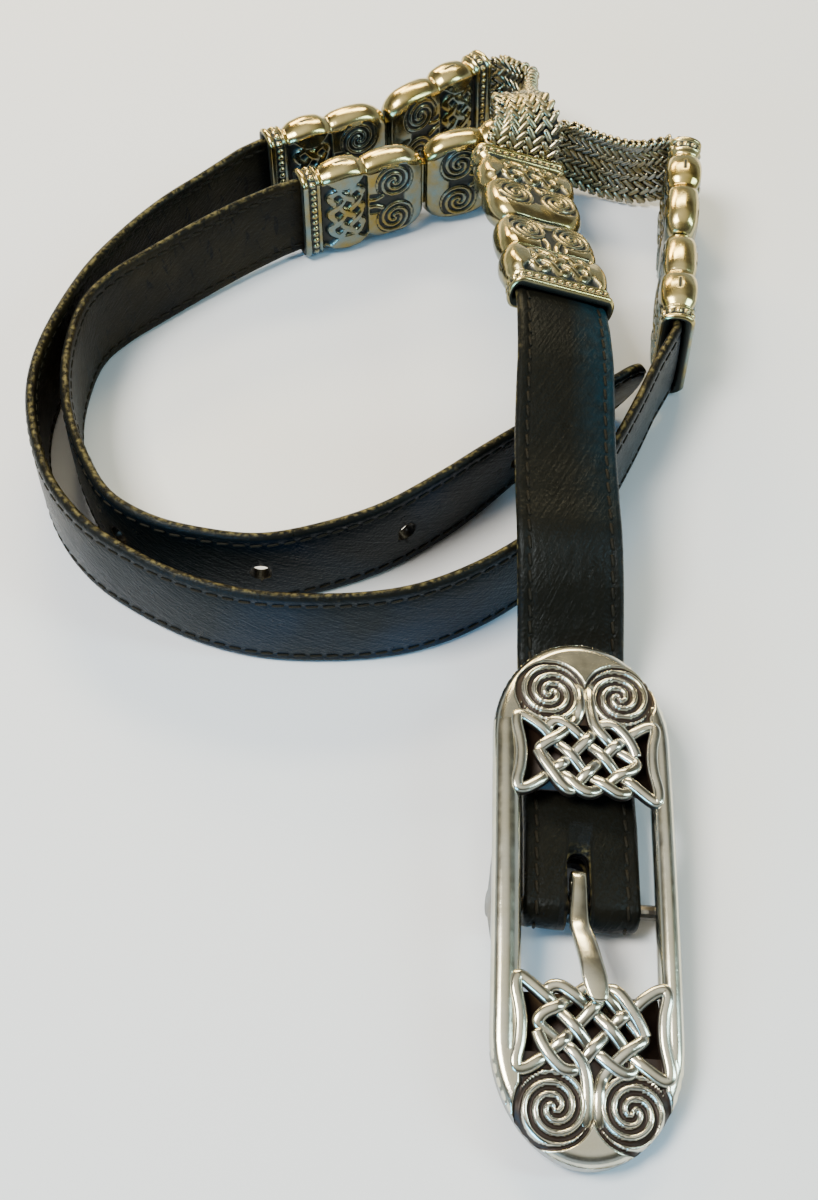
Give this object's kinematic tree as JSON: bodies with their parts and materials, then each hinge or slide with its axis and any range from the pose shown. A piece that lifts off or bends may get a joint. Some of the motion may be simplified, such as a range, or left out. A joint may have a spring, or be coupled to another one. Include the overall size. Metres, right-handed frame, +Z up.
{
  "type": "woven leather belt",
  "caption": "Leather belt lying in a coil, with cast spiral-and-knot end caps, metal mesh links and a long round-ended buckle with a swinging prong",
  "frame": {"origin": "below the middle of the whole coil, on the surface it lies on", "axes": "+Z up; +Y from the buckle towards the coil, the long way; +X to the right when the buckle is nearest"},
  "size_m": [0.1458, 0.265, 0.0362],
  "materials": {
    "strap_leather": "smooth black leather, soft sheen",
    "mesh_metal": "bright woven links with dark gaps",
    "cap_metal": "antique silver, polished tops and dark recesses",
    "buckle_metal": "polished silver with dark recesses"
  },
  "bodies": {
    "belt": {"strap_front": "strap_leather", "strap_back": "strap_leather", "strap_tip": "strap_leather", "mesh_front": "mesh_metal", "mesh_back": "mesh_metal", "strap_cap_outer": "cap_metal", "mesh_cap_outer": "cap_metal", "hinge_pin_outer": "cap_metal", "strap_cap_inner": "cap_metal", "mesh_cap_inner": "cap_metal", "hinge_pin_inner": "cap_metal", "strap_cap_right": "cap_metal", "mesh_cap_right": "cap_metal", "hinge_pin_right": "cap_metal", "strap_cap_front": "cap_metal", "mesh_cap_front": "cap_metal", "hinge_pin_front": "cap_metal", "buckle_frame": "buckle_metal", "buckle_bar": "buckle_metal"},
    "prong": {"buckle_prong": "buckle_metal"}
  },
  "joints": [
    {"name": "prong_hinge", "type": "hinge", "parent": "belt", "child": "prong", "pos_m": [0.0341, -0.08886, 0.00511], "axis": [-0.9942, 0.0273, 0.104], "range_deg": [0, 75]}
  ]
}
